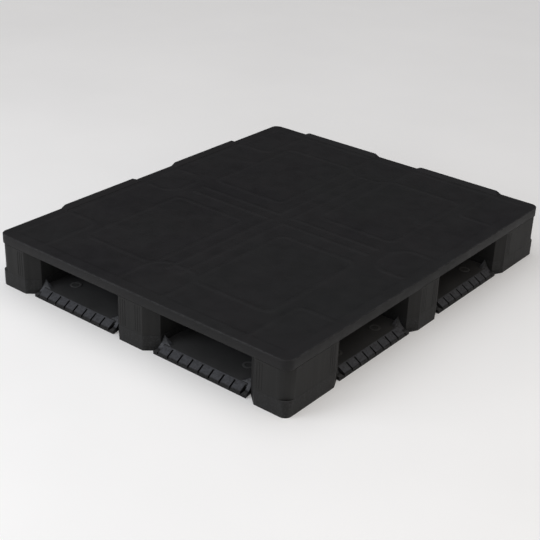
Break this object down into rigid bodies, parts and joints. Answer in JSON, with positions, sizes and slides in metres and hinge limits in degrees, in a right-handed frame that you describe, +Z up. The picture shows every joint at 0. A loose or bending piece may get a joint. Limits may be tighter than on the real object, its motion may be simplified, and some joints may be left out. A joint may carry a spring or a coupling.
{
  "type": "plastic pallet",
  "caption": "Black plastic pallet with a closed deck, blocks, four-way fork entry, a perimeter base with toothed ramps, and stop rims on two sides.",
  "frame": {"origin": "on the floor, under the middle of the pallet", "axes": "+Z up; +Y along the 1200 mm side; +X along the 1000 mm side. The stop rims are on the -X and +Y sides."},
  "size_m": [1, 1.2, 0.16],
  "materials": {
    "deck_plastic": "moulded polyethylene, matt black with a faint bluish sheen and flow marks",
    "base_plastic": "moulded polyethylene, matt black with fine scuffs",
    "steel": "galvanised",
    "rubber": "matt"
  },
  "bodies": {
    "root": {"top_deck": "deck_plastic", "deck_grid": "base_plastic", "stop_rim_left_1": "deck_plastic", "stop_rim_left_2": "deck_plastic", "stop_rim_back_1": "deck_plastic", "stop_rim_back_2": "deck_plastic", "block_front_left": "base_plastic", "block_front_middle": "base_plastic", "block_front_right": "base_plastic", "block_middle_left": "base_plastic", "block_centre": "base_plastic", "block_middle_right": "base_plastic", "block_back_left": "base_plastic", "block_back_middle": "base_plastic", "block_back_right": "base_plastic", "runner_left": "base_plastic", "runner_middle": "base_plastic", "runner_right": "base_plastic", "cross_skid_front_left": "base_plastic", "cross_skid_front_right": "base_plastic", "cross_skid_middle_left": "base_plastic", "cross_skid_middle_right": "base_plastic", "cross_skid_back_left": "base_plastic", "cross_skid_back_right": "base_plastic", "lock_pins": "base_plastic", "steel_tube_1": "steel", "steel_tube_2": "steel", "steel_tube_3": "steel", "steel_tube_4": "steel", "base_grips": "rubber"}
  },
  "joints": []
}
